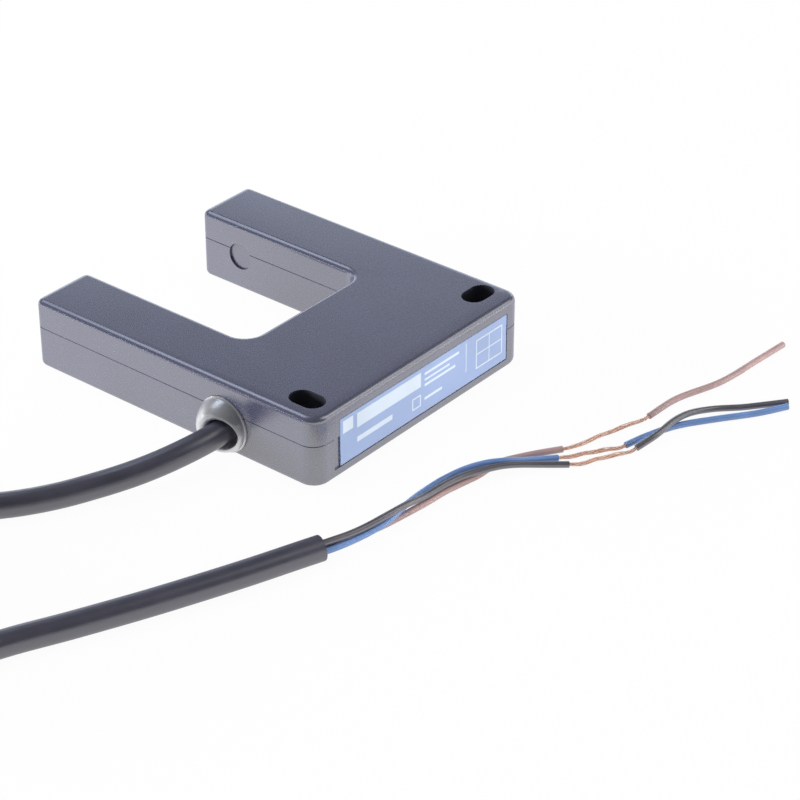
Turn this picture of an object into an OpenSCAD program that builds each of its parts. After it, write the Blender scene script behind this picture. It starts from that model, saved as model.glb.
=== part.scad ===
// Fork sensor
// A U-shaped photoelectric sensor. One arm sends a light beam across the gap, the other
// arm receives it, and the circuit in the bridge switches when something breaks the beam.
// Millimetres. +Z is up and z = 0 is the underside. The fork opens towards +Y, the label
// faces -Y and the cable leaves towards -X.

/* [Fork] */
// Clear gap between the two arms
passage_w = 30; // [26:1:40]
// Depth of the gap, from the tips to the bridge
passage_d = 38.4; // [32:0.2:50]
// Width of each arm
arm_w = 12.8; // [12.6:0.1:15]
// Depth of the bridge that joins the arms
bridge_d = 26.4; // [26:0.2:32]
// Height of the housing
body_h = 13.4; // [13:0.1:15]

/* [Shells] */
// Wall thickness of both shells
wall_t = 1.5; // [1.4:0.05:1.6]
// Height of the parting line between the shells
parting_z = 8; // [7.6:0.1:8.4]
// Rounding along the top and bottom edges
edge_r = 1.1; // [0.6:0.1:1.4]
// Rounding of the two corners of the bridge
rear_r = 3.2; // [2:0.1:4]
// Rounding of the arm tips
tip_r = 1.4; // [1:0.1:2]
// Rounding where the arms meet the bridge
crook_r = 3.6; // [2:0.1:5]

/* [Fixing slots] */
// Width of each slot
slot_w = 4.5; // [3.6:0.1:4.6]
// Length of each slot, end to end
slot_l = 6.8; // [6:0.1:7.2]
// From each side of the housing to the middle of its slot
slot_side = 5; // [4.8:0.1:5.6]
// From the label face to the middle of the slots
slot_rear = 6; // [5.8:0.1:7]

/* [Optics] */
// Diameter of the optical windows
window_d = 5.2; // [4:0.1:5.6]
// From the tips to the light beam
window_tip = 9.4; // [7:0.1:14]
// Depth of the windows below the faces of the gap
window_recess = 0.85; // [0.4:0.05:1]

/* [Label] */
// Margin between the label and the cable side
label_left = 6.3; // [5.6:0.1:8]
// Margin between the label and the other side
label_right = 4.4; // [4.2:0.1:8]
// Margin between the label and the underside
label_low = 2.1; // [1.8:0.1:3]
// Margin between the label and the top
label_high = 2.3; // [1.8:0.1:3]

/* [Cable] */
// Diameter of the cable
cable_d = 4.4; // [4:0.1:4.6]
// Clear height under the cable where it leaves the housing
cable_lift = 3; // [2.9:0.1:3.3]
// From the label face to the middle of the cable
cable_rear = 19.1; // [18:0.1:20]
// Diameter of the clear bush at the housing
bush_d = 10.4; // [9.6:0.1:10.6]
// Mean radius of the coil that holds the spare cable
coil_r = 24.6; // [24.2:0.1:25]

/* [Hidden] */
$fn = 48;

// outer sizes of the housing
hw = passage_w / 2 + arm_w;
gap_x = passage_w / 2;
y_tip = (passage_d + bridge_d) / 2;
y_rear = -y_tip;
y_crook = y_rear + bridge_d;

// faces of the hollow inside
in_x = hw - wall_t;
in_gap = gap_x + wall_t;
in_rear = y_rear + wall_t;
in_tip = y_tip - wall_t;
in_crook = y_crook - wall_t;
floor_z = wall_t;
roof_z = body_h - wall_t;

// joint between the shells
seam = 0.15;
tongue_in = 0.75;
tongue_t = 0.45;
tongue_h = 0.6;
fit = 0.05;

// slots and the pillars round them
slot_x = hw - slot_side;
slot_y = y_rear + slot_rear;
pillar_t = 1.2;

// optics
window_r = window_d / 2;
window_y = y_tip - window_tip;
window_z = body_h / 2 + 0.2;
lens_flange_t = 0.9;
lens_flange_r = window_r + 0.8;
diode_r = 1.5;

// circuit board
board_gap = 0.6;
board_z = floor_z + 0.5;
board_t = 0.8;
board_top = board_z + board_t;
board_y = (in_rear + in_crook) / 2;
arm_mid = (in_gap + in_x) / 2;
supports = [
  [arm_mid, y_crook + 18],
  [-arm_mid, y_crook + 18],
  [9, in_rear + 3.2],
  [-9, in_rear + 3.2]
];

// label
label_t = 0.25;
pocket_d = 0.3;
pocket_gap = 0.15;
pocket_step = 1.4;

// cable way through the wall
cable_r = cable_d / 2;
cable_y = y_rear + cable_rear;
cable_z = cable_lift + cable_r;
bush_r = bush_d / 2;
bush_rim = 0.15;
bush_rim_t = 0.35;
bush_sink = 0.45;
bush_y = cable_y + 1.2;
bush_z = bush_r + 0.15;
mouth_side = 0.8;
mouth_flare = 1;
neck_r = cable_r + 0.7;
clamp_r = cable_r + 0.75;
clamp_x = hw - 3;
clamp_l = 3;
jacket_in = hw - 6.8;

// spare cable, wound in three layers of four turns
columns = 4;
layers = 3;
coil_w = columns * cable_d;
coil_h = layers * cable_d;
coil_out = coil_r + (columns - 1) / 2 * cable_d;
coil_x = -83.5;
coil_y = 31;
lead_angle = 22;
tie_w = 3.6;
tie_t = 0.6;
tie_sink = 0.7;

// Cable routes, measured from the point where the cable leaves the side face. The third
// number is the height as a share of the lift: 1 is the bush and 0 is flat on the surface.
lead_run = [
  [-4, 0, 1],
  [-9, 0.7, 0.9],
  [-14.4, 2.4, 0.66],
  [-19.2, 4.8, 0.36],
  [-24.4, 7.9, 0.08],
  [-30.5, 11, 0],
  [-36.6, 14.9, 0],
  [-41.8, 19.7, 0],
  [-46.3, 25.6, 0],
  [-50.2, 32.8, 0]
];
tail_run = [
  [-75, -7.9],
  [-64, -11.5],
  [-54, -16.2],
  [-42.8, -21.2],
  [-35, -24.4],
  [-26.8, -27.6],
  [-17.6, -30.9],
  [-14, -32.2]
];

// The last turn crosses the top of the coil and comes down outside it: angle, distance
// from the mean turn in cable diameters, height as a share of the height of the top turn
tail_turn = [
  [55, -1, 1],
  [85, 0.2, 1],
  [112, 1.4, 1.03],
  [136, 2.4, 1.03],
  [158, 2.8, 0.92],
  [182, 2.8, 0.64],
  [206, 2.8, 0.32],
  [228, 2.8, 0.08],
  [245, 2.8, 0],
  [259, 2.8, 0]
];

// cores, bared strands and the cut sleeves left on their ends
core_d = 1.15;
slug_d = 1.15;
strand_d = 0.6;
black_run = [
  [-8.87, -33.89, 2.89],
  [-5.6, -34.58, 2.91],
  [-1.34, -35.26, 3.1],
  [3.38, -35.49, 2.85],
  [8.61, -35.39, 1.89],
  [13.39, -35.73, 1.83],
  [17.57, -36.61, 1.84],
  [21.05, -38.06, 1.83],
  [23.74, -39.47, 1.78],
  [26.16, -41.1, 1.5],
  [28.44, -42.86, 1.08],
  [30.55, -44.74, 0.78],
  [32.58, -46.74, 0.6]
];
blue_run = [
  [-9.19, -34.18, 1.7],
  [-5.83, -34.78, 1.69],
  [-1.38, -35.19, 1.8],
  [4.54, -34.52, 1.85],
  [11.26, -33.29, 0.78],
  [16.34, -33.41, 0.6],
  [19.92, -34.77, 1.15],
  [22.57, -36.9, 1.81],
  [24.77, -38.67, 1.86],
  [27.2, -40.31, 1.44],
  [29.74, -41.88, 0.96],
  [33.03, -44.1, 0.6]
];
brown_run = [
  [-7.64, -32.87, 0.94],
  [-4.41, -33.57, 0.6],
  [-0.44, -34.41, 0.6],
  [3.92, -35, 0.6],
  [8.48, -35.51, 0.6],
  [13.29, -35.86, 0.6],
  [17.61, -36.61, 0.6],
  [20.5, -37.1, 0.6],
  [23.66, -37.17, 0.6],
  [26.2, -37.63, 0.68],
  [29.07, -38.9, 0.6],
  [31.7, -40.41, 0.6],
  [35.71, -43.06, 0.6]
];
black_cut = [
  [43.9, -52.5, 0.6],
  [47.6, -53.6, 1.6],
  [53.6, -53.6, 1.9],
  [57.3, -54.1, 1.7],
  [62, -55.7, 0.9],
  [66.4, -59.3, 0.6],
  [72.6, -64.2, 0.6]
];
blue_cut = [
  [43.5, -50.6, 0.6],
  [48, -51.6, 0.6],
  [53.9, -53.7, 0.6],
  [59.6, -57.4, 0.6],
  [66.4, -62.3, 0.6],
  [71.3, -65, 0.6]
];
brown_cut = [
  [53.6, -48.3, 0.6],
  [61.1, -48.7, 0.6],
  [70.8, -51.5, 0.6],
  [81.6, -52.4, 0.6],
  [88.6, -52.9, 0.6]
];

// Outline of the fork, seen from above and drawn in by d
rear_n = 8;
tip_n = 5;
crook_n = 8;

function arc(c, r, from, to, n) =
  [for (i = [0:n]) c + r * [cos(from + (to - from) * i / n), sin(from + (to - from) * i / n)]];

function outline(d) =
  let (
    rr = max(rear_r - d, 0.2),
    tr = max(tip_r - d, 0.2),
    cr = crook_r + d,
    cx = gap_x - crook_r,
    cy = y_crook + crook_r
  )
  concat(
    arc([-hw + d + rr, y_rear + d + rr], rr, 180, 270, rear_n),
    arc([hw - d - rr, y_rear + d + rr], rr, 270, 360, rear_n),
    arc([hw - d - tr, y_tip - d - tr], tr, 0, 90, tip_n),
    arc([gap_x + d + tr, y_tip - d - tr], tr, 90, 180, tip_n),
    arc([cx, cy], cr, 0, -90, crook_n),
    arc([-cx, cy], cr, 270, 180, crook_n),
    arc([-gap_x - d - tr, y_tip - d - tr], tr, 0, 90, tip_n),
    arc([-hw + d + tr, y_tip - d - tr], tr, 90, 180, tip_n)
  );

// Flat end of a fork-shaped solid, in convex pieces that share the corners of the outline
i_right = 2 * rear_n + 1;
i_crook = i_right + 1 + 2 * (tip_n + 1);
i_left = i_crook + crook_n + 1;
i_arm = i_left + crook_n;
i_all = i_arm + 1 + 2 * (tip_n + 1);

function span(a, b) = [for (i = [a:b]) i];
function flip(v) = [for (i = [len(v) - 1:-1:0]) v[i]];
function lift(v, k) = [for (i = v) i + k];

cap = concat(
  [concat(span(0, i_right), [i_left - 1, i_left])],
  [span(i_right, i_crook)],
  [for (i = [i_crook:i_crook + crook_n - 1]) [i_right, i, i + 1]],
  [for (i = [i_left:i_left + crook_n - 1]) [0, i, i + 1]],
  [concat(span(i_arm, i_all - 1), [0])]
);

// Fork-shaped solid through levels of [height, inset]
module skin(levels) {
  top = (len(levels) - 1) * i_all;
  polyhedron(
    points = [for (l = levels) for (p = outline(l[1])) [p[0], p[1], l[0]]],
    faces = concat(
      cap,
      [for (f = cap) flip(lift(f, top))],
      [
        for (k = [0:len(levels) - 2])
          for (i = [0:i_all - 1])
            [k * i_all + i, (k + 1) * i_all + i, (k + 1) * i_all + (i + 1) % i_all]
      ],
      [
        for (k = [0:len(levels) - 2])
          for (i = [0:i_all - 1])
            [k * i_all + i, (k + 1) * i_all + (i + 1) % i_all, k * i_all + (i + 1) % i_all]
      ]
    )
  );
}

round_n = 4;
lower_levels = concat(
  [for (i = [0:round_n]) [edge_r * (1 - cos(90 * i / round_n)), edge_r * (1 - sin(90 * i / round_n))]],
  [[parting_z - seam, 0], [parting_z, seam]]
);
upper_levels = concat(
  [[parting_z, seam], [parting_z + seam, 0]],
  [
    for (i = [round_n:-1:0])
      [body_h - edge_r * (1 - cos(90 * i / round_n)), edge_r * (1 - sin(90 * i / round_n))]
  ]
);

// Long hole or pillar: the slot on the cable side runs along Y, the other along X
module slot(side, grow, from, to) {
  half = (slot_l - slot_w) / 2;
  translate([side * slot_x, slot_y, from])
    rotate([0, 0, side < 0 ? 90 : 0]) {
      for (s = [-1, 1])
        translate([s * half, 0, 0])
          cylinder(r = slot_w / 2 + grow, h = to - from);
      translate([-half, -slot_w / 2 - grow, 0])
        cube([2 * half, slot_w + 2 * grow, to - from]);
    }
}

module hollow(from, to) {
  difference() {
    translate([0, 0, from])
      linear_extrude(to - from)
        polygon(outline(wall_t));
    for (s = [-1, 1])
      slot(s, pillar_t, from - 1, to + 1);
  }
}

// Ring that follows the outer wall, for the tongue and the groove
module wall_ring(d, t, from, to) {
  translate([0, 0, from])
    linear_extrude(to - from)
      difference() {
        polygon(outline(d));
        polygon(outline(d + t));
      }
}

module along_x(at, r, from, to) {
  translate([from, at[0], at[1]])
    rotate([0, 90, 0])
      cylinder(r = r, h = to - from);
}

// Openings that both shells share
module openings() {
  for (s = [-1, 1])
    slot(s, 0, -1, body_h + 1);
  along_x([window_y, window_z], window_r, gap_x - 1, in_gap + 1);
  along_x([window_y, window_z], window_r, -in_gap - 1, -gap_x + 1);
  along_x([cable_y, cable_z], neck_r + fit, -hw - 1, -in_x + 1);
}

module label_pocket(step) {
  translate([-hw + label_left - pocket_gap - step, y_rear - 1, label_low - pocket_gap])
    cube([
      2 * hw - label_left - label_right + 2 * pocket_gap + step,
      1 + pocket_d,
      body_h - label_low - label_high + 2 * pocket_gap
    ]);
}

// Cradle half that holds the strain relief sleeve
module cradle(from, to) {
  difference() {
    translate([-clamp_x + fit, cable_y - clamp_r - 0.95, from])
      cube([clamp_l - 2 * fit, 2 * clamp_r + 1.9, to - from]);
    along_x([cable_y, cable_z], clamp_r + fit, -hw, -hw + 12);
  }
}

module lower_shell() {
  color([0.2, 0.21, 0.25])
    difference() {
      union() {
        difference() {
          skin(lower_levels);
          hollow(floor_z, parting_z + 1);
        }
        for (p = supports)
          translate([p[0], p[1], floor_z - 0.3])
            cylinder(r = 1.6, h = board_z - floor_z + 0.3);
        cradle(floor_z - 0.3, cable_z - 0.1);
      }
      wall_ring(tongue_in - fit, tongue_t + 2 * fit, parting_z - tongue_h - 0.1, parting_z + 1);
      openings();
      label_pocket(pocket_step);
    }
}

module upper_shell() {
  color([0.18, 0.19, 0.23])
    difference() {
      union() {
        difference() {
          skin(upper_levels);
          hollow(parting_z - 1, roof_z);
        }
        wall_ring(tongue_in, tongue_t, parting_z - tongue_h, parting_z + 0.3);
        for (p = supports)
          translate([p[0], p[1], board_top + 0.1])
            cylinder(r = 1.2, h = roof_z - board_top + 0.2);
        cradle(cable_z + 0.1, roof_z + 0.3);
      }
      openings();
      label_pocket(0);
    }
}

// Lens with its front in the window and a collar behind the wall. side is -1 or 1.
module lens(side) {
  cap_h = 0.8;
  cap_a = window_r - 0.2;
  cap_r = (cap_a * cap_a + cap_h * cap_h) / (2 * cap_h);
  cap_angle = asin(cap_a / cap_r);
  front = gap_x + window_recess;
  back = in_gap + lens_flange_t;
  cap_x = back + cap_h - cap_r;
  rotate([0, 0, side < 0 ? 180 : 0])
    translate([0, side * window_y, window_z])
      rotate([0, 90, 0])
        rotate_extrude()
          polygon(concat(
            [[0, front], [window_r - fit, front], [window_r - fit, in_gap]],
            [[lens_flange_r, in_gap], [lens_flange_r, back], [cap_a, back]],
            [
              for (i = [1:5])
                let (a = cap_angle * (1 - i / 6))
                [cap_r * sin(a), cap_x + cap_r * cos(a)]
            ],
            [[0, back + cap_h]]
          ));
}

module emitter_lens() {
  color([0.2, 0.17, 0.2])
    lens(-1);
}

module receiver_lens() {
  color([0.2, 0.17, 0.2])
    lens(1);
}

// Round optical component behind a lens, with its legs bent down to the board
module diode(side) {
  tip = in_gap + lens_flange_t + 1.4;
  base = tip + 4.2;
  leg = 0.5;
  rotate([0, 0, side < 0 ? 180 : 0]) {
    at = [side * window_y, window_z];
    translate([tip + diode_r, at[0], at[1]])
      sphere(r = diode_r);
    along_x(at, diode_r, tip + diode_r, base + 0.2);
    along_x(at, diode_r + 0.4, base, base + 0.8);
    for (s = [-1, 1]) {
      translate([base + 0.6, at[0] + s * 1.27 - leg / 2, at[1] - leg / 2])
        cube([1.2, leg, leg]);
      translate([base + 1.3, at[0] + s * 1.27 - leg / 2, board_top])
        cube([leg, leg, at[1] + leg / 2 - board_top]);
    }
  }
}

module emitter_diode() {
  color([0.35, 0.42, 0.6])
    diode(-1);
}

module receiver_diode() {
  color([0.12, 0.12, 0.14])
    diode(1);
}

// Board that fills the bridge and reaches into both arms, cut back round the pillars
// and the cable cradle
module circuit_board() {
  near_x = -slot_x + slot_w / 2 + pillar_t + board_gap;
  near_y = slot_y + slot_l / 2 + pillar_t + board_gap;
  far_x = slot_x - slot_l / 2 - pillar_t - board_gap;
  far_y = slot_y + slot_w / 2 + pillar_t + board_gap;
  side_x = in_x - board_gap;
  gap_in = in_gap + board_gap;
  bay_x = -clamp_x + clamp_l + board_gap;
  bay_y = cable_y + clamp_r + 0.95 + board_gap;
  color([0.1, 0.32, 0.2])
    translate([0, 0, board_z])
      linear_extrude(board_t)
        polygon([
          [near_x, in_rear + board_gap],
          [far_x, in_rear + board_gap],
          [far_x, far_y],
          [side_x, far_y],
          [side_x, in_tip - board_gap],
          [gap_in, in_tip - board_gap],
          [gap_in, in_crook - board_gap],
          [-gap_in, in_crook - board_gap],
          [-gap_in, in_tip - board_gap],
          [-side_x, in_tip - board_gap],
          [-side_x, bay_y],
          [bay_x, bay_y],
          [bay_x, near_y],
          [near_x, near_y]
        ]);
}

module on_board(x, y, size) {
  translate([x - size[0] / 2, y - size[1] / 2, board_top])
    cube(size);
}

module signal_chip() {
  color([0.1, 0.1, 0.11]) {
    translate([3, board_y + 4, board_top + 0.15])
      translate([-2.45, -1.95, 0])
        cube([4.9, 3.9, 1.5]);
    for (i = [-1.5:1:1.5])
      for (s = [-1, 1])
        on_board(3 + 1.27 * i, board_y + 4 + s * 2.4, [0.42, 1.2, 0.75]);
  }
}

module output_transistor() {
  color([0.1, 0.1, 0.11]) {
    translate([-9.25, board_y - 1.75, board_top + 0.1])
      cube([6.5, 3.5, 1.6]);
    on_board(-6, board_y + 2.4, [3, 1.8, 0.6]);
    for (i = [-1:1])
      on_board(-6 + 2.3 * i, board_y - 2.4, [0.7, 1.8, 0.6]);
  }
}

module capacitors() {
  color([0.62, 0.45, 0.15]) {
    on_board(10.5, board_y + 4, [3.5, 2.8, 1.9]);
    on_board(3.5, board_y - 2, [2, 1.25, 1]);
    on_board(7, board_y - 2, [2, 1.25, 1]);
  }
}

module resistors() {
  color([0.14, 0.14, 0.16])
    for (i = [0:4])
      on_board(-2 + 2 * i, board_y - 6, [0.9, 1.7, 0.5]);
}

// Lamp at the edge of the board, beside the neck of the clear bush
module status_led() {
  x = -in_x + 2;
  y = cable_y + clamp_r + 2.7;
  color([0.9, 0.75, 0.2]) {
    on_board(x, y, [1.6, 1, 0.8]);
    translate([x, y, board_top + 0.7])
      intersection() {
        sphere(r = 0.45);
        translate([-1, -1, 0])
          cube(2);
      }
  }
}

// Clear domed bush: a domed cap on a thin rim outside, a neck through the wall and a collar
// behind it. The cable passes a little to the rear of the middle of the dome, tight on one
// side, and the flared mouth opens to the rear of it.
module lamp_bush() {
  color([0.85, 0.87, 0.9, 0.6])
    difference() {
      union() {
        intersection() {
          translate([-hw + bush_sink, bush_y, bush_z])
            sphere(r = bush_r - bush_rim);
          along_x([bush_y, bush_z], bush_r, -hw - bush_r, -hw);
        }
        along_x([bush_y, bush_z], bush_r, -hw - bush_rim_t, -hw);
        along_x([cable_y, cable_z], neck_r, -hw - 0.3, -in_x + 0.8);
        along_x([cable_y, cable_z], neck_r + 0.45, -in_x, -in_x + 0.8);
      }
      along_x([cable_y, cable_z], cable_r + fit, -hw - bush_r - 1, -in_x + 2);
      translate([-hw - bush_r, cable_y - mouth_side, cable_z])
        rotate([0, 90, 0])
          cylinder(r1 = cable_r + mouth_flare, r2 = cable_r + 0.02, h = bush_r - 0.6);
    }
}

// Split sleeve that grips the jacket
module cable_clamp() {
  color([0.75, 0.75, 0.78])
    difference() {
      along_x([cable_y, cable_z], clamp_r, -clamp_x, -clamp_x + clamp_l);
      along_x([cable_y, cable_z], cable_r + fit, -clamp_x - 1, -clamp_x + clamp_l + 1);
      translate([-clamp_x - 1, cable_y - 0.4, cable_z])
        cube([clamp_l + 2, 0.8, clamp_r + 1]);
    }
}

module label_plate() {
  color([0.3, 0.45, 0.8])
    translate([-hw + label_left, y_rear + pocket_d - label_t, label_low])
      cube([2 * hw - label_left - label_right, label_t, body_h - label_low - label_high]);
}

// Tube swept through points, with flat ends square to the first and last runs
function unit(v) = v / norm(v);
function heading(p, i) =
  i == 0 ? unit(p[1] - p[0])
  : i == len(p) - 1 ? unit(p[i] - p[i - 1])
  : unit(unit(p[i] - p[i - 1]) + unit(p[i + 1] - p[i]));
function ring(c, t, side, r, n) =
  let (a = unit(cross(side, t)), b = cross(t, a))
  [for (i = [0:n - 1]) c + r * (cos(360 * i / n) * a + sin(360 * i / n) * b)];

module tube(p, r, n, side = [0, 0, 1]) {
  m = len(p);
  polyhedron(
    points = [for (i = [0:m - 1]) for (q = ring(p[i], heading(p, i), side, r, n)) q],
    faces = concat(
      [span(0, n - 1)],
      [flip(span((m - 1) * n, m * n - 1))],
      [
        for (k = [0:m - 2])
          for (i = [0:n - 1])
            [k * n + i, (k + 1) * n + i, (k + 1) * n + (i + 1) % n]
      ],
      [
        for (k = [0:m - 2])
          for (i = [0:n - 1])
            [k * n + i, (k + 1) * n + (i + 1) % n, k * n + (i + 1) % n]
      ]
    )
  );
}

// Inner ends of the three conductors, from the cut jacket to the board
module inner_lead(dy, dz) {
  y0 = cable_y + dy;
  z0 = cable_z + dz;
  y1 = cable_y + 3.2 * dy;
  tube(
    [
      [-jacket_in, y0, z0],
      [-jacket_in + 1, y0, z0],
      [-jacket_in + 3.2, (y0 + y1) / 2, (z0 + board_top) / 2 + 0.8],
      [-jacket_in + 5, y1, board_top + 1],
      [-jacket_in + 5, y1, board_top]
    ],
    core_d / 2, 8, [0, 1, 0]
  );
}

module brown_lead() {
  color([0.4, 0.25, 0.2])
    inner_lead(-0.75, -0.3);
}

module black_lead() {
  color([0.1, 0.1, 0.1])
    inner_lead(0, 0.9);
}

module blue_lead() {
  color([0.2, 0.35, 0.75])
    inner_lead(0.75, -0.3);
}

// Cable routes turned into points in the frame of the housing
function from_exit(p, z) = [p[0] - hw, p[1] + cable_y, z];
function on_coil(r, a, z) =
  [coil_x - hw + r * cos(a), coil_y + cable_y + r * sin(a), z];

lead_points = concat(
  [[-jacket_in, cable_y, cable_z], [-hw, cable_y, cable_z]],
  [for (p = lead_run) from_exit(p, cable_r + p[2] * cable_lift)],
  [on_coil(coil_out - 0.4 * cable_d, lead_angle + 8, cable_r)]
);
top_z = coil_h + cable_r + 0.05;
tail_points = concat(
  [on_coil(coil_r - cable_d, lead_angle - 4, coil_h - cable_r)],
  [
    for (t = tail_turn)
      on_coil(coil_r + t[1] * cable_d, t[0], cable_r + t[2] * (top_z - cable_r))
  ],
  [for (p = tail_run) from_exit(p, cable_r)]
);

// Ring of wound turns, with a seat for the tie
module coil_body() {
  rotate_extrude($fn = 96)
    translate([coil_r - coil_w / 2, 0])
      square([coil_w, coil_h]);
}

module tie_frame(grow, from, to) {
  translate([-coil_r, to, coil_h / 2])
    rotate([90, 0, 0])
      linear_extrude(to - from)
        square([coil_w + 2 * grow, coil_h + 2 * grow], center = true);
}

module cable_coil() {
  color([0.12, 0.12, 0.14])
    translate([coil_x - hw, coil_y + cable_y, 0])
      difference() {
        coil_body();
        difference() {
          tie_frame(2, -tie_w / 2 - 0.1, tie_w / 2 + 0.1);
          tie_frame(-tie_sink, -tie_w, tie_w);
        }
      }
}

module coil_tie() {
  color([0.1, 0.1, 0.11])
    translate([coil_x - hw, coil_y + cable_y, 0])
      difference() {
        tie_frame(0, -tie_w / 2, tie_w / 2);
        tie_frame(-tie_t, -tie_w, tie_w);
      }
}

module cable_lead() {
  color([0.12, 0.12, 0.14])
    difference() {
      tube(lead_points, cable_r, 10);
      translate([coil_x - hw, coil_y + cable_y, 0])
        coil_body();
    }
}

module cable_tail() {
  color([0.12, 0.12, 0.14])
    difference() {
      tube(tail_points, cable_r, 10);
      translate([coil_x - hw, coil_y + cable_y, 0])
        coil_body();
    }
}

// Cores start square on the cut end of the jacket
tail_end = tail_points[len(tail_points) - 1];
tail_dir = heading(tail_points, len(tail_points) - 1);
tail_side = [-tail_dir[1], tail_dir[0], 0];
black_at = tail_end + [0, 0, 0.75];
blue_at = tail_end - 0.65 * tail_side - [0, 0, 0.4];
brown_at = tail_end + 0.65 * tail_side - [0, 0, 0.4];

function placed(run) = [for (p = run) from_exit(p, p[2])];
function core_points(at, run) = concat([at, at + 2 * tail_dir], placed(run));

// Strands run from the end of a core to the start of its cut sleeve
function strand_points(run, cut) =
  let (
    a = placed(run),
    b = placed(cut),
    n = len(a),
    u = unit(a[n - 1] - a[n - 2]),
    v = unit(b[1] - b[0]),
    p = a[n - 1] + 1.2 * u,
    q = b[0] - 1.2 * v
  )
  [a[n - 1], p, (p + q) / 2 + [0, 0, 0.1], q, b[0]];

module brown_core() {
  color([0.45, 0.27, 0.22])
    tube(core_points(brown_at, brown_run), core_d / 2, 8);
}

module black_core() {
  color([0.1, 0.1, 0.11])
    tube(core_points(black_at, black_run), core_d / 2, 8);
}

module blue_core() {
  color([0.15, 0.35, 0.75])
    tube(core_points(blue_at, blue_run), core_d / 2, 8);
}

module brown_strands() {
  color([0.85, 0.5, 0.35])
    tube(strand_points(brown_run, brown_cut), strand_d / 2, 8);
}

module black_strands() {
  color([0.85, 0.5, 0.35])
    tube(strand_points(black_run, black_cut), strand_d / 2, 8);
}

module blue_strands() {
  color([0.85, 0.5, 0.35])
    tube(strand_points(blue_run, blue_cut), strand_d / 2, 8);
}

module brown_slug() {
  color([0.45, 0.27, 0.22])
    tube(placed(brown_cut), slug_d / 2, 8);
}

module black_slug() {
  color([0.1, 0.1, 0.11])
    tube(placed(black_cut), slug_d / 2, 8);
}

module blue_slug() {
  color([0.15, 0.35, 0.75])
    tube(placed(blue_cut), slug_d / 2, 8);
}

lower_shell();
upper_shell();
emitter_lens();
receiver_lens();
emitter_diode();
receiver_diode();
circuit_board();
signal_chip();
output_transistor();
capacitors();
resistors();
status_led();
lamp_bush();
cable_clamp();
label_plate();
brown_lead();
black_lead();
blue_lead();
cable_lead();
cable_coil();
coil_tie();
cable_tail();
brown_core();
black_core();
blue_core();
brown_strands();
black_strands();
blue_strands();
brown_slug();
black_slug();
blue_slug();
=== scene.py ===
"""Fork sensor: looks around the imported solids. Metres, in the frame of the solids."""
import math

import bmesh
import bpy
import numpy as np
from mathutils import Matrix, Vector


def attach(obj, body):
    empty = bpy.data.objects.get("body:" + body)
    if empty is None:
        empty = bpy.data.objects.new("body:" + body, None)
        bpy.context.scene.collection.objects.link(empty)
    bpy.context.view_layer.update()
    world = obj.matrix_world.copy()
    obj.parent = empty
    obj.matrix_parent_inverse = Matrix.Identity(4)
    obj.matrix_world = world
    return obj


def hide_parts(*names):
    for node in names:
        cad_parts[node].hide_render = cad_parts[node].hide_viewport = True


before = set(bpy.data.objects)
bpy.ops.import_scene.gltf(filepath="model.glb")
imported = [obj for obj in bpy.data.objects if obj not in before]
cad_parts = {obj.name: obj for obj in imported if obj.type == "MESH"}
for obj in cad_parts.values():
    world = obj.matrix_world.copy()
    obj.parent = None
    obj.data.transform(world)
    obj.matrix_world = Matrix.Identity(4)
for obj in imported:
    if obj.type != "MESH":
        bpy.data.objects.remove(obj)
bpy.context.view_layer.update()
MM = 0.001

# Camera, at the angle of the photograph
AZIMUTH = math.radians(-50.6325)
ELEVATION = math.radians(31.667)
DISTANCE = 0.4748962
TARGET = Vector((-4.056, -30.7664, 6.0)) * MM
LENS = 126.034

# Housing sizes in millimetres. The slots are at x, across its arm, and at -x, along it.
HALF_W = 27.8
HALF_L = 32.4
EXIT = (-27.8, -13.3)
SLOT_AT = (22.8, -26.4)
SLOT_W = 4.5
SLOT_L = 6.8
# Margin round each slot within which its walls get the painted shade
SLOT_SHADE_MARGIN = 0.1

# Parting groove: half its height, and the share of that which is left open
PARTING_Z = 8.0
SEAM = 0.15
SEAM_LEFT = 0.65
SEAM_MARGIN = 0.005

# Fronts of the optical windows, from the middle of the gap, and how far they come forward
WINDOW_FRONT = 15.85
WINDOW_LIFT = 0.45
WINDOW_MARGIN = 0.05

# Label plate and its plain printed fields, as x from and to, z from and to
PLATE_Y = -HALF_L + 0.05
PRINT_FRONT = PLATE_Y - 0.012
PRINT_BACK = PLATE_Y + 0.05
FIELDS = [
    (-20.8, -18.2, 8.0, 10.4),
    (-17.2, -0.4, 7.5, 10.3),
    (-17.2, -8.0, 4.7, 5.7),
    (-2.7, -0.4, 5.75, 6.0), (-2.7, -0.4, 3.7, 3.95),
    (-2.7, -2.45, 3.95, 5.75), (-0.65, -0.4, 3.95, 5.75),
    (0.6, 10.0, 9.3, 9.8), (0.6, 7.4, 8.2, 8.6), (0.6, 9.0, 7.1, 7.6), (0.6, 5.4, 4.4, 4.9),
    (11.9, 12.1, 4.6, 10.4),
    (14.8, 22.2, 9.45, 9.7), (15.05, 21.95, 6.7, 6.9), (14.8, 22.2, 3.9, 4.15),
    (14.8, 15.05, 4.15, 9.45), (18.4, 18.6, 4.15, 6.7),
    (18.4, 18.6, 6.9, 9.45), (21.95, 22.2, 4.15, 9.45),
]

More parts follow.
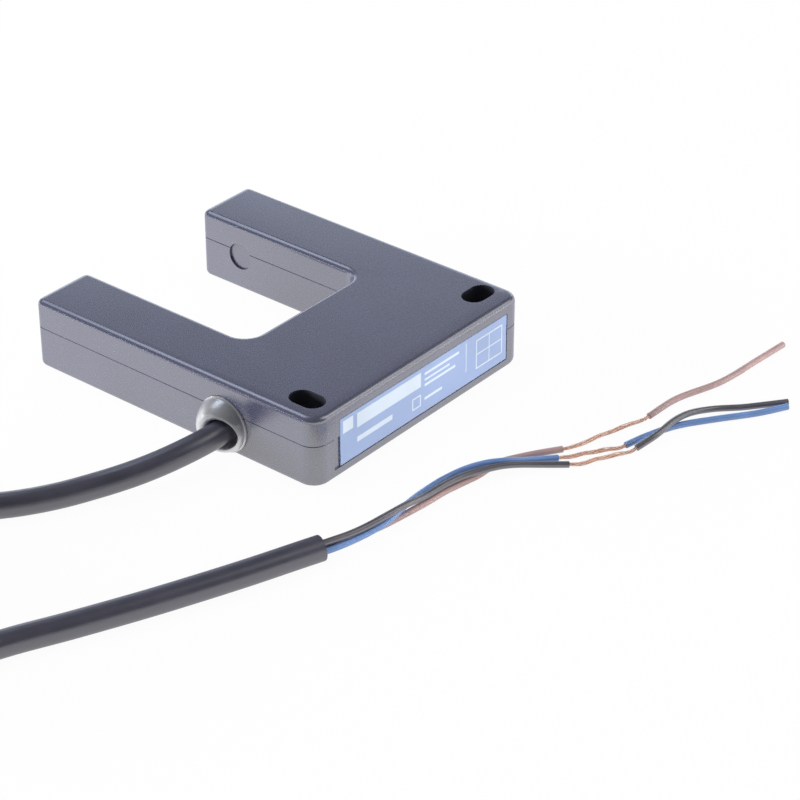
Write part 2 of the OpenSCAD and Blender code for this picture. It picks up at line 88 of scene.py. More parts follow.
# Cable: its lead and tail as points from the exit, the lead with a share of the lift
CABLE_D = 4.4
CABLE_R = CABLE_D / 2
CABLE_LIFT = 3.0
CABLE_STEP = 2.2
LEAD_RUN = [
    (6.8, 0, 1), (0, 0, 1), (-4, 0, 1), (-9, 0.7, 0.9), (-14.4, 2.4, 0.66), (-19.2, 4.8, 0.36),
    (-24.4, 7.9, 0.08), (-30.5, 11, 0), (-36.6, 14.9, 0), (-41.8, 19.7, 0), (-46.3, 25.6, 0),
    (-50.2, 32.8, 0),
]
TAIL_RUN = [
    (-75, -7.9), (-64, -11.5), (-54, -16.2), (-42.8, -21.2), (-35, -24.4), (-26.8, -27.6),
    (-17.6, -30.9), (-14, -32.2),
]

# Coil: angles in degrees, LAST_TURN where the cable starts to go over the top
COIL_AT = (-83.5, 31.0)
COIL_R = 24.6
OUTSIDE_R = COIL_R + 2.78 * CABLE_D
LEAD_ANGLE = 22
TURN_STEP = 6.0
LAST_TURN = 3895
COIL_END = LAST_TURN + 303

# Tie round the coil. Its head and its cut end are boxes from the inside of the strap.
TIE_ANGLE = 180
TIE_HUMP = 0.7
TIE_HUMP_ANGLE = 20
TIE_HALF_W = 1.8
TIE_THICK = 0.6
TIE_INSIDE = COIL_R - 2 * CABLE_D - 0.45
TIE_OUTSIDE = COIL_R + 2 * CABLE_D + 0.45
TIE_TOP = 3 * CABLE_D + 1.3
TIE_BOTTOM = 0.65
TIE_CORNER = 1.6
TIE_EDGE = 0.15
TIE_HEAD = (TIE_INSIDE - 3.4, TIE_INSIDE + 0.3, -2.6, 2.6, 5.6, 10.2)
TIE_END = (TIE_INSIDE - 2.4, TIE_INSIDE - 1.4, -1.7, 1.7, 3.2, 12.6)

# Bush round the cable, as (y, z) of its middle, of the cable and of its mouth
BUSH_AT = (-12.1, 5.35)
BUSH_R = 5.2
BUSH_RIM = 0.35
DOME_R = 5.05
DOME_SINK = 0.45
DOME_ROLL = 0.5
CABLE_AT = (-13.3, 5.2)
NECK_R = 2.87
NECK_END = -2.6
MOUTH_AT = (-13.85, 5.15)
MOUTH_R = 2.75

# Rings of the bush before and after its dome: middle, radius, height above the face
BUSH_NECK = [
    (CABLE_AT, CABLE_R + 0.03, 0.4), (CABLE_AT, CABLE_R + 0.03, NECK_END),
    (CABLE_AT, NECK_R, NECK_END), (CABLE_AT, NECK_R, 0), (BUSH_AT, BUSH_R, 0),
    (BUSH_AT, BUSH_R, BUSH_RIM - 0.1), (BUSH_AT, BUSH_R - 0.05, BUSH_RIM),
]
BUSH_THROAT = [(MOUTH_AT, MOUTH_R - 0.04, 0.9), (CABLE_AT, CABLE_R + 0.2, 0.5)]

# Cores and cut sleeves, as points from the exit with their own height
CORE_D = 1.15
CORE_STEP = 0.6
CORE_FLOOR = CORE_D / 2 + 0.01
CORE_STRAIGHT = 2
CORE_STARTS = {"black": (0, 0.75), "blue": (-0.65, -0.4), "brown": (0.65, -0.4)}
CORE_RUNS = {
    "black": [
        (-8.87, -33.89, 2.89), (-5.6, -34.58, 2.91), (-1.34, -35.26, 3.1), (3.38, -35.49, 2.85),
        (8.61, -35.39, 1.89), (13.39, -35.73, 1.83), (17.57, -36.61, 1.84), (21.05, -38.06, 1.83),
        (23.74, -39.47, 1.78), (26.16, -41.1, 1.5), (28.44, -42.86, 1.08), (30.55, -44.74, 0.78),
        (32.58, -46.74, 0.6),
    ],
    "blue": [
        (-9.19, -34.18, 1.7), (-5.83, -34.78, 1.69), (-1.38, -35.19, 1.8), (4.54, -34.52, 1.85),
        (11.26, -33.29, 0.78), (16.34, -33.41, 0.6), (19.92, -34.77, 1.15), (22.57, -36.9, 1.81),
        (24.77, -38.67, 1.86), (27.2, -40.31, 1.44), (29.74, -41.88, 0.96), (33.03, -44.1, 0.6),
    ],
    "brown": [
        (-7.64, -32.87, 0.94), (-4.41, -33.57, 0.6), (-0.44, -34.41, 0.6), (3.92, -35, 0.6),
        (8.48, -35.51, 0.6), (13.29, -35.86, 0.6), (17.61, -36.61, 0.6), (20.5, -37.1, 0.6),
        (23.66, -37.17, 0.6), (26.2, -37.63, 0.68), (29.07, -38.9, 0.6), (31.7, -40.41, 0.6),
        (35.71, -43.06, 0.6),
    ],
}
SLEEVE_RUNS = {
    "black": [
        (43.9, -52.5, 0.6), (47.6, -53.6, 1.6), (53.6, -53.6, 1.9), (57.3, -54.1, 1.7),
        (62, -55.7, 0.9), (66.4, -59.3, 0.6), (72.6, -64.2, 0.6),
    ],
    "blue": [
        (43.5, -50.6, 0.6), (48, -51.6, 0.6), (53.9, -53.7, 0.6), (59.6, -57.4, 0.6),
        (66.4, -62.3, 0.6), (71.3, -65, 0.6),
    ],
    "brown": [
        (53.6, -48.3, 0.6), (61.1, -48.7, 0.6), (70.8, -51.5, 0.6), (81.6, -52.4, 0.6),
        (88.6, -52.9, 0.6),
    ],
}

# Bared strands: a ring of wires round one in the middle, each as slack as listed
STRAND_R = 0.09
STRAND_SIDES = 6
STRAND_STEP = 0.5
STRAND_RING = 0.2
STRAND_SLACK = (0.02, 0.14, 0.05, 0.2, 0.03, 0.1)
STRAND_TWIST = 2.6 * math.pi
STRAND_STRAIGHT = 1.2
STRAND_HIDDEN = 1.5
STRAND_RISE = 0.1
STRAND_FLOOR = 0.12

# Surfaces of the solids: weld and speck in metres, and the sharpest edge that is smooth
WELD = 2e-6
SPECK = 1e-7
SMOOTH_ANGLE = math.radians(32)

# Floor with a low wall far around it, and the light of the world
FLOOR_FAR = 6.0
WALL_HIGH = 1.2
FLOOR_DROP = 0.00002
FLOOR_COLOUR = (0.86, 0.86, 0.86, 1)
FLOOR_GLOW = 0.955
WORLD_LIGHT = 0.12

# Lights: name, place, aim, size, power, colour, and whether reflections show it
WHITE = (1, 1, 1)
COOL = (0.86, 0.965, 1.17)
LIGHTS = [
    ("left_strip", (-0.52, 0.58, 0.14), (0, 0, 0.005), (1.0, 0.24), 13.0, WHITE, False),
    ("right_strip", (0.6, -0.52, 0.07), (0, 0, 0.005), (1.1, 0.14), 8.0, WHITE, False),
    ("overhead", (-0.2, 0.2, 1.2), (0, 0, 0), (1.2, 1.2), 8.0, WHITE, False),
    ("back_box", (0, 0.33, 0.5), (0, 0, 0), (0.4, 0.2), 0.35, COOL, True),
    ("front_box", (0.3, -0.37, 0.5), (0, 0, 0), (0.35, 0.3), 0.45, WHITE, True),
    ("rear_card", (0.58, -0.48, 0.27), (0, 0, 0), (0.5, 0.55), 0.7, WHITE, True),
    ("far_panel", (0.69, 0.57, 0.235), (0, 0, 0.12), (1.1, 0.41), 1.62, COOL, True),
]


def make_camera():
    forward = Vector((
        -math.sin(AZIMUTH) * math.cos(ELEVATION),
        math.cos(AZIMUTH) * math.cos(ELEVATION),
        -math.sin(ELEVATION),
    ))
    data = bpy.data.cameras.new("camera")
    data.lens = LENS
    data.sensor_width = 36
    data.clip_start = 0.01
    data.clip_end = 20
    cam = bpy.data.objects.new("camera", data)
    bpy.context.collection.objects.link(cam)
    cam.location = TARGET - forward * DISTANCE
    cam.rotation_euler = forward.to_track_quat("-Z", "Y").to_euler()
    bpy.context.scene.camera = cam


# Curves
def unit(vector):
    return vector / np.linalg.norm(vector)


def unit_rows(rows):
    return rows / np.linalg.norm(rows, axis=1)[:, None]


def spline(points, step):
    """Smooth curve through the points, sampled about every step"""
    p = np.asarray(points, float)
    q = np.vstack([2 * p[0] - p[1], p, 2 * p[-1] - p[-2]])
    out = []
    for a, b, c, d in zip(q, q[1:], q[2:], q[3:]):
        t1 = np.linalg.norm(b - a) ** 0.5
        t2 = t1 + np.linalg.norm(c - b) ** 0.5
        t3 = t2 + np.linalg.norm(d - c) ** 0.5
        n = max(2, math.ceil(np.linalg.norm(c - b) / step))
        for t in np.linspace(t1, t2, n, endpoint=False):
            a1 = ((t1 - t) * a + t * b) / t1
            a2 = ((t2 - t) * b + (t - t1) * c) / (t2 - t1)
            a3 = ((t3 - t) * c + (t - t2) * d) / (t3 - t2)
            b1 = ((t2 - t) * a1 + t * a2) / t2
            b2 = ((t3 - t) * a2 + (t - t1) * a3) / (t3 - t1)
            out.append(((t2 - t) * b1 + (t - t1) * b2) / (t2 - t1))
    out.append(p[-1])
    return np.array(out)


def ease(t):
    t = np.clip(t, 0, 1)
    return t * t * (3 - 2 * t)


def ramp(angle, first, changes):
    """Starts at first and goes to each new value between two angles"""
    value = np.full_like(angle, first)
    last = first
    for start, end, new in changes:
        value += (new - last) * ease((angle - start) / (end - start))
        last = new
    return value


def from_exit(p, z):
    return (EXIT[0] + p[0], EXIT[1] + p[1], z)


def on_floor(points):
    """Keeps a round core from sinking into the floor between its points"""
    points[:, 2] = np.maximum(points[:, 2], CORE_FLOOR)
    return points


def wound_turns():
    """Three layers of turns, then over the top and down outside the coil"""
    out, mid_out, mid_in, inner = (COIL_R + k * CABLE_D for k in (1.5, 0.5, -0.5, -1.5))
    turn = np.arange(0, COIL_END, TURN_STEP)
    radius = ramp(turn, out, [
        (290, 358, mid_out), (650, 718, mid_in), (1010, 1078, inner),
        (1625, 1698, mid_in), (1985, 2058, mid_out), (2345, 2418, out),
        (2940, 3015, mid_out), (3300, 3375, mid_in), (3660, 3735, inner),
        (LAST_TURN + 65, LAST_TURN + 215, OUTSIDE_R),
    ])
    height = ramp(turn, CABLE_R, [
        (1325, 1425, CABLE_R + CABLE_D), (2660, 2755, CABLE_R + 2 * CABLE_D),
        (LAST_TURN, LAST_TURN + 95, CABLE_R + 3 * CABLE_D),
        (LAST_TURN + 180, LAST_TURN + 290, CABLE_R),
    ])
    angle = LEAD_ANGLE + turn
    from_tie = (angle - TIE_ANGLE + 180) % 360 - 180
    over_tie = TIE_HUMP * np.exp(-((from_tie / TIE_HUMP_ANGLE) ** 2)) * (turn < LAST_TURN)
    a = np.radians(angle)
    x = EXIT[0] + COIL_AT[0] + radius * np.cos(a)
    y = EXIT[1] + COIL_AT[1] + radius * np.sin(a)
    return np.c_[x, y, height + over_tie]


def cable_path():
    lead = [from_exit(p, CABLE_R + p[2] * CABLE_LIFT) for p in LEAD_RUN]
    tail = [from_exit(p, CABLE_R) for p in TAIL_RUN]
    return spline(np.vstack([lead, wound_turns(), tail]), CABLE_STEP)


def curve_piece(name, points, radius, mat, resolution=5):
    """Round cord along points in millimetres"""
    data = bpy.data.curves.new(name, "CURVE")
    data.dimensions = "3D"
    data.bevel_depth = radius * MM
    data.bevel_resolution = resolution
    data.use_fill_caps = True
    line = data.splines.new("POLY")
    line.points.add(len(points) - 1)
    flat = np.c_[np.asarray(points) * MM, np.ones(len(points))]
    line.points.foreach_set("co", flat.ravel())
    line.use_smooth = True
    obj = bpy.data.objects.new(name, data)
    bpy.context.collection.objects.link(obj)
    data.materials.append(mat)
    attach(obj, "root")
    return obj


# Meshes
def mesh_piece(name, verts, faces, mat, smooth=True):
    """Mesh from vertices in millimetres"""
    mesh = bpy.data.meshes.new(name)
    mesh.from_pydata([tuple(c * MM for c in v) for v in verts], [], faces)
    mesh.materials.append(mat)
    for poly in mesh.polygons:
        poly.use_smooth = smooth
    mesh.update()
    obj = bpy.data.objects.new(name, mesh)
    bpy.context.collection.objects.link(obj)
    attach(obj, "root")
    return obj


def skin_of(node, name, mat):
    """Copy of a solid's surface with shared corners, so that its roundings shade smoothly"""
    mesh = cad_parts[node].data.copy()
    mesh.name = name
    if "custom_normal" in mesh.attributes:
        mesh.attributes.remove(mesh.attributes["custom_normal"])
    bm = bmesh.new()
    bm.from_mesh(mesh)
    bmesh.ops.remove_doubles(bm, verts=bm.verts, dist=WELD)
    bmesh.ops.dissolve_degenerate(bm, edges=bm.edges, dist=SPECK)
    for e in bm.edges:
        e.smooth = len(e.link_faces) == 2 and e.calc_face_angle(0) < SMOOTH_ANGLE
    for f in bm.faces:
        f.smooth = True
        f.material_index = 0
    bm.to_mesh(mesh)
    bm.free()
    mesh.materials.clear()
    mesh.materials.append(mat)
    obj = bpy.data.objects.new(name, mesh)
    bpy.context.collection.objects.link(obj)
    normals = obj.modifiers.new("normals", "WEIGHTED_NORMAL")
    normals.keep_sharp = True
    normals.weight = 80
    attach(obj, "root")
    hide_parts(node)
    return obj


def add_shape(verts, faces, shape):
    """Adds the vertices and faces of a shape to those of a piece"""
    base = len(verts)
    verts += shape[0]
    faces += [tuple(base + i for i in f) for f in shape[1]]


def box_shape(x0, x1, y0, y1, z0, z1):
    v = [(x, y, z) for z in (z0, z1) for y in (y0, y1) for x in (x0, x1)]
    f = [(0, 2, 3, 1), (4, 5, 7, 6), (0, 1, 5, 4), (2, 6, 7, 3), (0, 4, 6, 2), (1, 3, 7, 5)]
    return v, f


def swept(points, radius, sides):
    """Closed tube along points, as vertices and faces"""
    p = np.asarray(points, float)
    up = np.array([0.0, 0.0, 1.0])
    verts, faces = [], []
    for c, d in zip(p, unit_rows(np.gradient(p, axis=0))):
        side = unit(np.cross(up, d))
        up = np.cross(d, side)
        for k in range(sides):
            a = 2 * math.pi * k / sides
            verts.append(tuple(c + radius * (math.cos(a) * side + math.sin(a) * up)))
    n = len(p)
    for i in range(n - 1):
        for k in range(sides):
            j = (k + 1) % sides
            faces.append((i * sides + k, i * sides + j, (i + 1) * sides + j, (i + 1) * sides + k))
    faces.append(tuple(range(sides - 1, -1, -1)))
    faces.append(tuple(range((n - 1) * sides, n * sides)))
    return verts, faces


# Materials
class Shader:
    """Node material with one principled shader"""

    def __init__(self, name, colour, roughness, **settings):
        self.mat = bpy.data.materials.new(name)
        self.mat.use_nodes = True
        self.nodes = self.mat.node_tree.nodes
        self.link = self.mat.node_tree.links.new
        self.bsdf = self.nodes["Principled BSDF"]
        self.colour = colour
        self.bsdf.inputs["Base Color"].default_value = (*colour, 1)
        self.bsdf.inputs["Roughness"].default_value = roughness
        for key, value in settings.items():
            self.bsdf.inputs[key.replace("_", " ")].default_value = value
        self.place = self.nodes.new("ShaderNodeTexCoord").outputs["Object"]

    def noise(self, per_mm, detail=2.0):
        n = self.nodes.new("ShaderNodeTexNoise")
        n.inputs["Scale"].default_value = per_mm * 1000
        n.inputs["Detail"].default_value = detail
        self.link(self.place, n.inputs["Vector"])
        return n.outputs["Fac"]

    def spread(self, fac, low, high, from_low=0.3, from_high=0.7):
        r = self.nodes.new("ShaderNodeMapRange")
        r.inputs["From Min"].default_value = from_low
        r.inputs["From Max"].default_value = from_high
        r.inputs["To Min"].default_value = low
        r.inputs["To Max"].default_value = high
        self.link(fac, r.inputs["Value"])
        return r.outputs["Result"]

    def vary_colour(self, fac, dark, light):
        """Colour goes from dark to light times the base colour"""
        m = self.nodes.new("ShaderNodeMix")
        m.data_type = "RGBA"
        m.inputs["A"].default_value = (*[c * dark for c in self.colour], 1)
        m.inputs["B"].default_value = (*[c * light for c in self.colour], 1)
        self.link(fac, m.inputs["Factor"])
        self.link(m.outputs["Result"], self.bsdf.inputs["Base Color"])

    def vary_roughness(self, fac, low, high):
        self.link(self.spread(fac, low, high, 0.1, 0.9), self.bsdf.inputs["Roughness"])

    def bump(self, fac, height_mm):
        b = self.nodes.new("ShaderNodeBump")
        b.inputs["Strength"].default_value = 1.0
        b.inputs["Distance"].default_value = height_mm * MM
        self.link(fac, b.inputs["Height"])
        self.link(b.outputs["Normal"], self.bsdf.inputs["Normal"])


def moulded(name, colour, roughness, grain=0.0014, gloss=0.5, ior=1.5):
    """Satin moulded plastic: fine spark grain in height and gloss, soft clouds of colour"""
    s = Shader(name, colour, roughness, Specular_IOR_Level=gloss, IOR=ior)
    fine = s.noise(3.2, 1)
    cloud = s.noise(0.09, 1)
    s.vary_colour(s.spread(cloud, 0, 1, 0.1, 0.9), 0.88, 1.12)
    s.vary_roughness(fine, roughness - 0.02, roughness + 0.02)
    s.bump(fine, grain)
    return s.mat


def sheath(name, colour, roughness, grain=0.01, gloss=0.5, ior=1.5):
    """Extruded insulation: fine grain, uneven colour and gloss"""
    s = Shader(name, colour, roughness, Specular_IOR_Level=gloss, IOR=ior)
    cloud = s.noise(0.25, 3)
    fine = s.noise(2.2, 2)
    s.vary_colour(s.spread(cloud, 0, 1), 0.88, 1.12)
    s.vary_roughness(cloud, roughness - 0.06, roughness + 0.08)
    s.bump(fine, grain)
    return s.mat


def metal(name, colour, roughness, share=1.0):
    """Bare metal: clouded colour and gloss on a finely uneven surface"""
    s = Shader(name, colour, roughness, Metallic=share)
    cloud = s.noise(1.5, 3)
    s.vary_colour(s.spread(cloud, 0, 1), 0.85, 1.1)
    s.vary_roughness(cloud, roughness - 0.08, roughness + 0.1)
    s.bump(s.noise(6.0), 0.004)
    return s.mat


def clear(name, colour, roughness):
    """Clear satin plastic, half see-through, with a faintly uneven surface"""
    s = Shader(
        name, colour, roughness, Transmission_Weight=0.55, IOR=1.5, Specular_IOR_Level=1.0,
        Coat_Weight=0.25, Coat_Roughness=0.12, Coat_IOR=1.6, Metallic=0.25,
    )
    s.bump(s.noise(0.8, 2), 0.05)
    s.vary_roughness(s.noise(0.5, 2), roughness - 0.03, roughness + 0.06)
    return s.mat


HOUSING = moulded("housing_plastic", (0.055, 0.057, 0.105), 0.27, gloss=1.0, ior=2.06)
# Walls of the fixing slots: the matt finish is real, the darker colour is painted shade
SLOT_WALL_SHADE = moulded("slot_plastic_painted_shade", (0.03, 0.032, 0.042), 0.6, gloss=0.2)
WINDOW = moulded("window_plastic", (0.055, 0.057, 0.105), 0.25, 0.001, gloss=1.0, ior=2.0)
BUSH = clear("bush_clear", (0.46, 0.47, 0.5), 0.3)
LABEL = moulded("label_blue", (0.33, 0.42, 0.65), 0.35, 0.002)
PRINT = moulded("label_print", (0.66, 0.74, 0.83), 0.4, 0.001)
JACKET = sheath("cable_jacket", (0.038, 0.037, 0.062), 0.36, gloss=1.0, ior=1.74)
TIE = sheath("tie_nylon", (0.02, 0.02, 0.022), 0.45, 0.004)
CORES = {
    "brown": sheath("core_brown", (0.44, 0.29, 0.28), 0.33, 0.004, gloss=1.0),
    "black": sheath("core_black", (0.074, 0.069, 0.085), 0.33, 0.004, gloss=1.0, ior=1.8),
    "blue": sheath("core_blue", (0.15, 0.27, 0.56), 0.33, 0.004, gloss=1.0),
}
COPPER = metal("copper_strands", (0.98, 0.69, 0.56), 0.38, share=0.6)
BOARD = moulded("board_green", (0.03, 0.16, 0.07), 0.4)
CHIP = moulded("chip_black", (0.02, 0.02, 0.022), 0.55)
CAPACITOR = moulded("capacitor_tan", (0.4, 0.25, 0.06), 0.5)
DIODE = moulded("diode_resin", (0.12, 0.14, 0.2), 0.15, 0.001)
LAMP = moulded("lamp_yellow", (0.85, 0.6, 0.08), 0.25, 0.001)
CLAMP = metal("clamp_steel", (0.55, 0.55, 0.57), 0.35)

# Pieces inside the closed housing, which keep the shape of their solids
INSIDE = {
    "emitter_diode": DIODE, "receiver_diode": DIODE, "circuit_board": BOARD, "signal_chip": CHIP,
    "output_transistor": CHIP, "capacitors": CAPACITOR, "resistors": CHIP, "status_led": LAMP,
    "cable_clamp": CLAMP, "brown_lead": CORES["brown"], "black_lead": CORES["black"],
    "blue_lead": CORES["blue"],
}


# Pieces on the cable
def coil_tie():
    """Narrow strap round the turns, with its head in the hole of the coil"""
    left, right = TIE_INSIDE + TIE_CORNER, TIE_OUTSIDE - TIE_CORNER
    low, high = TIE_BOTTOM + TIE_CORNER, TIE_TOP - TIE_CORNER
    thickness = (TIE_CORNER, TIE_CORNER, TIE_CORNER + TIE_THICK, TIE_CORNER + TIE_THICK)
    width = (-TIE_HALF_W, TIE_HALF_W, TIE_HALF_W, -TIE_HALF_W)
    verts, faces = [], []
    for cx, cz, first in ((left, low, 180), (right, low, 270), (right, high, 0), (left, high, 90)):
        for a in np.radians(first + np.arange(0, 91, 18)):
            for r, y in zip(thickness, width):
                verts.append((cx + r * math.cos(a), y, cz + r * math.sin(a)))
    n = len(verts) // 4
    for i in range(n):
        j = (i + 1) % n
        for k in range(4):
            m = (k + 1) % 4
            faces.append((4 * i + k, 4 * i + m, 4 * j + m, 4 * j + k))
    add_shape(verts, faces, box_shape(*TIE_HEAD))
    add_shape(verts, faces, box_shape(*TIE_END))
    c, s = math.cos(math.radians(TIE_ANGLE)), math.sin(math.radians(TIE_ANGLE))
    cx, cy = EXIT[0] + COIL_AT[0], EXIT[1] + COIL_AT[1]
    placed = [(cx + x * c - y * s, cy + x * s + y * c, z) for x, y, z in verts]
    obj = mesh_piece("tie", placed, faces, TIE, smooth=False)
    edge = obj.modifiers.new("edges", "BEVEL")
    edge.width = TIE_EDGE * MM
    edge.segments = 2
    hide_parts("coil_tie")
    return obj


def cable_bush():
    """Clear ring on the side face that rolls over into a mouth, tight on one side of the cable"""
    turn = np.linspace(0, 2 * math.pi, 72, endpoint=False)
    round_about = np.array([np.cos(turn), np.sin(turn)])
    rows = []

    def ring(centre, radius, height):
        y, z = centre[0] + radius * round_about[0], centre[1] + radius * round_about[1]
        rows.append(np.c_[-HALF_W - height * np.ones(len(turn)), y, z])

    for plain in BUSH_NECK:
        ring(*plain)
    outer, inner = np.array(BUSH_AT), np.array(MOUTH_AT)
    width = DOME_R - MOUTH_R + (outer - inner) @ round_about
    for s in np.linspace(0.02, 1, 22):
        centre = outer + s * (inner - outer)
        radius = DOME_R + s * (MOUTH_R - DOME_R)
        off = (centre - outer)[:, None] + radius * round_about
        dome = np.sqrt(np.maximum(DOME_R ** 2 - (off ** 2).sum(0), 0)) - DOME_SINK
        roll = min((1 - s) / DOME_ROLL, 1)
        drop = DOME_ROLL * width * (1 - math.sqrt(1 - (1 - roll) ** 2))
        ring(centre, radius, np.maximum(dome - drop, BUSH_RIM + 0.01))
    for plain in BUSH_THROAT:
        ring(*plain)
    n, m = len(turn), len(rows)
    faces = [
        (i * n + k, i * n + (k + 1) % n, (i + 1) % m * n + (k + 1) % n, (i + 1) % m * n + k)
        for i in range(m) for k in range(n)
    ]
    obj = mesh_piece("bush", [tuple(v) for v in np.vstack(rows)], faces, BUSH)
    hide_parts("lamp_bush")
    return obj


def strand_bundle(name, start, end, u, v):
    """Seven fine wires, lightly twisted, from the core to the cut sleeve"""
    p, q = start + STRAND_STRAIGHT * u, end - STRAND_STRAIGHT * v
    middle = (p + q) / 2 + (0, 0, STRAND_RISE)
    line = spline(
        [start - STRAND_HIDDEN * u, start, p, middle, q, end, end + STRAND_HIDDEN * v], STRAND_STEP
    )
    t = unit_rows(np.gradient(line, axis=0))
    side = unit_rows(np.cross(t, (0, 0, 1)))
    up = np.cross(side, t)
    s = np.linspace(0, 1, len(line))
    loose = np.sin(math.pi * s)
    around = len(STRAND_SLACK)
    rings = [STRAND_RING + loose * slack for slack in STRAND_SLACK] + [0]
    verts, faces = [], []
    for k, r in enumerate(rings):
        a = 2 * math.pi * k / around + STRAND_TWIST * s
        wire = line + (r * np.cos(a))[:, None] * side + (r * np.sin(a))[:, None] * up
        wire[:, 2] = np.maximum(wire[:, 2], STRAND_FLOOR)
        add_shape(verts, faces, swept(wire, STRAND_R, STRAND_SIDES))
    obj = mesh_piece(name, verts, faces, COPPER)
    return obj


# Finish of the housing and the label, with painted shade in the fixing slots
def shade_slot_walls(obj):
    """Gives the walls of the two fixing slots a matt finish and a darker colour, which is painted
    shade for the shadow inside the slots
    """
    obj.data.materials.append(SLOT_WALL_SHADE)
    for face in obj.data.polygons:
        x, y = face.center.x / MM, face.center.y / MM
        half_x, half_y = (SLOT_W / 2, SLOT_L / 2) if x < 0 else (SLOT_L / 2, SLOT_W / 2)
        in_x = abs(abs(x) - SLOT_AT[0]) < half_x + SLOT_SHADE_MARGIN
        in_y = abs(y - SLOT_AT[1]) < half_y + SLOT_SHADE_MARGIN
        if in_x and in_y and abs(face.normal.z) < 0.5:
            # Slot wall faces take the darker material, which is painted shade
            face.material_index = 1


def draw_in_seam(obj):
    """Brings the lips of the parting groove together, to a fine line"""
    for v in obj.data.vertices:
        up = v.co.z / MM - PARTING_Z
        if abs(abs(up) - SEAM) < SEAM_MARGIN:
            v.co.z = (PARTING_Z + SEAM_LEFT * up) * MM


def lift_window(obj):
    """Brings the front of an optical window nearer to the face of its arm"""
    for v in obj.data.vertices:
        if abs(v.co.x) < (WINDOW_FRONT + WINDOW_MARGIN) * MM:
            v.co.x -= math.copysign(WINDOW_LIFT * MM, v.co.x)


def label_print():
    verts, faces = [], []
    for x0, x1, z0, z1 in FIELDS:
        add_shape(verts, faces, box_shape(x0, x1, PRINT_FRONT, PRINT_BACK, z0, z1))
    return mesh_piece("label_fields", verts, faces, PRINT, smooth=False)


# Floor, light and background
def seen_directly(nodes, link):
    """1 for camera, glossy and transmission rays"""
    path = nodes.new("ShaderNodeLightPath")
    total = path.outputs["Is Camera Ray"]
    for key in ("Is Glossy Ray", "Is Transmission Ray"):
        either = nodes.new("ShaderNodeMath")
        either.operation = "MAXIMUM"
        link(total, either.inputs[0])
        link(path.outputs[key], either.inputs[1])
        total = either.outputs[0]
    return total


def make_floor():
    """Floor and a low wall far around it, for views from near the ground"""
    far = FLOOR_FAR
    corners = [(-far, -far), (far, -far), (far, far), (-far, far)]
    walls = [(k, (k + 1) % 4, (k + 1) % 4 + 4, k + 4) for k in range(4)]
    verts = [(x, y, z) for z in (0, WALL_HIGH) for x, y in corners]
    mesh = bpy.data.meshes.new("floor")
    mesh.from_pydata(verts, [], [(0, 1, 2, 3)] + walls)
    floor = bpy.data.objects.new("floor", mesh)
    bpy.context.collection.objects.link(floor)
    floor.location.z = -FLOOR_DROP
    mat = bpy.data.materials.new("floor_white")
    mat.use_nodes = True
    nodes, link = mat.node_tree.nodes, mat.node_tree.links.new
    nodes.remove(nodes["Principled BSDF"])
    diffuse = nodes.new("ShaderNodeBsdfDiffuse")
    diffuse.inputs["Color"].default_value = FLOOR_COLOUR
    glow = nodes.new("ShaderNodeEmission")
    glow.inputs["Strength"].default_value = 1.0
    share = nodes.new("ShaderNodeMath")
    share.operation = "MULTIPLY"
    share.inputs[1].default_value = FLOOR_GLOW
    link(seen_directly(nodes, link), share.inputs[0])
    mix = nodes.new("ShaderNodeMixShader")
    link(share.outputs[0], mix.inputs["Fac"])
    link(diffuse.outputs[0], mix.inputs[1])
    link(glow.outputs[0], mix.inputs[2])
    link(mix.outputs[0], nodes["Material Output"].inputs["Surface"])
    mesh.materials.append(mat)


def make_world():
    world = bpy.data.worlds.new("studio")
    bpy.context.scene.world = world
    world.use_nodes = True
    back = world.node_tree.nodes["Background"]
    back.inputs["Color"].default_value = (1, 1, 1, 1)
    back.inputs["Strength"].default_value = WORLD_LIGHT


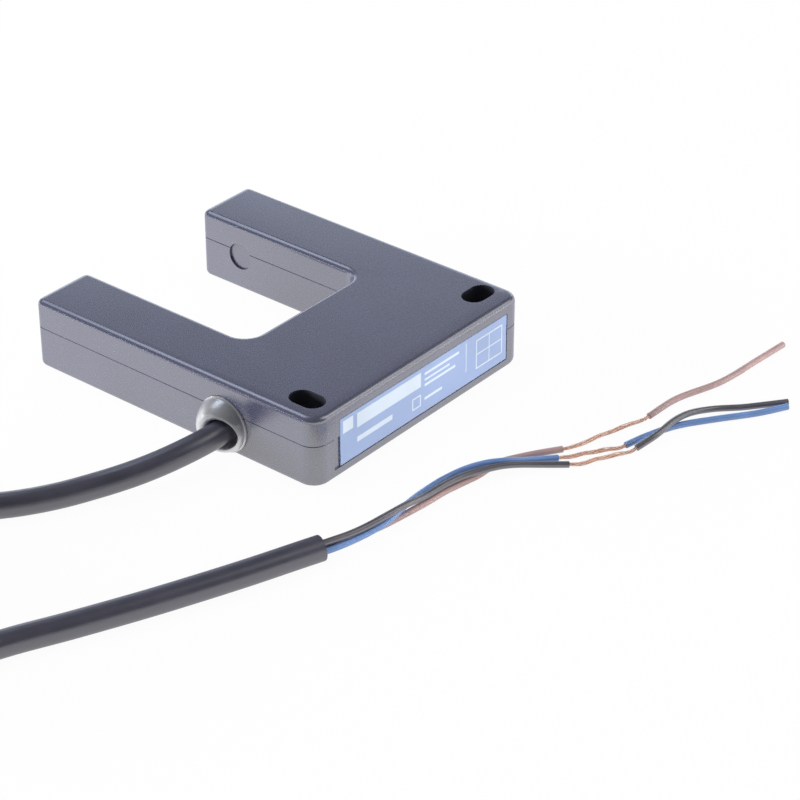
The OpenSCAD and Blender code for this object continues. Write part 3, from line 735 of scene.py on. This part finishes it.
def area_light(name, at, aim, size, power, colour, shines):
    data = bpy.data.lights.new(name, "AREA")
    data.shape = "RECTANGLE"
    data.size, data.size_y = size
    data.energy = power
    data.color = colour
    lamp = bpy.data.objects.new(name, data)
    bpy.context.collection.objects.link(lamp)
    lamp.location = at
    lamp.visible_glossy = lamp.visible_transmission = shines
    lamp.rotation_euler = (Vector(aim) - Vector(at)).to_track_quat("-Z", "Y").to_euler()


# The camera and the cords come first
make_camera()
cable_points = cable_path()
cable = curve_piece("cable", cable_points, CABLE_R, JACKET, 8)
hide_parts("cable_lead", "cable_coil", "cable_tail")
tie = coil_tie()
bush = cable_bush()

tail_end = cable_points[-1]
tail_dir = unit(cable_points[-1] - cable_points[-2])
tail_side = np.array([-tail_dir[1], tail_dir[0], 0])
for colour, run in CORE_RUNS.items():
    side, up = CORE_STARTS[colour]
    start = tail_end + side * tail_side + (0, 0, up)
    first = [start - CORE_STRAIGHT * tail_dir, start, start + CORE_STRAIGHT * tail_dir]
    core_line = on_floor(spline(first + [from_exit(p, p[2]) for p in run], CORE_STEP))
    sleeve_run = [from_exit(p, p[2]) for p in SLEEVE_RUNS[colour]]
    sleeve_line = on_floor(spline(sleeve_run, CORE_STEP))
    core = curve_piece(colour + "_wire", core_line, CORE_D / 2, CORES[colour])
    sleeve = curve_piece(colour + "_sleeve", sleeve_line, CORE_D / 2, CORES[colour])
    strands = strand_bundle(
        colour + "_copper", core_line[-1], sleeve_line[0],
        unit(core_line[-1] - core_line[-2]), unit(sleeve_line[1] - sleeve_line[0]),
    )
    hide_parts(colour + "_core")
    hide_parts(colour + "_slug")
    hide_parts(colour + "_strands")

# Housing, label and what is inside
for node, name in (("lower_shell", "housing_lower"), ("upper_shell", "housing_upper")):
    shell = skin_of(node, name, HOUSING)
    # Painted shade on the walls of the fixing slots
    shade_slot_walls(shell)
    draw_in_seam(shell)
for node, name in (("emitter_lens", "window_left"), ("receiver_lens", "window_right")):
    window = skin_of(node, name, WINDOW)
    lift_window(window)
plate = skin_of("label_plate", "label", LABEL)
label_print()
for node, mat in INSIDE.items():
    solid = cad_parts[node].data
    solid.materials.clear()
    solid.materials.append(mat)

# Studio
make_floor()
make_world()
for light in LIGHTS:
    area_light(*light)
bpy.context.scene.view_settings.view_transform = "Standard"
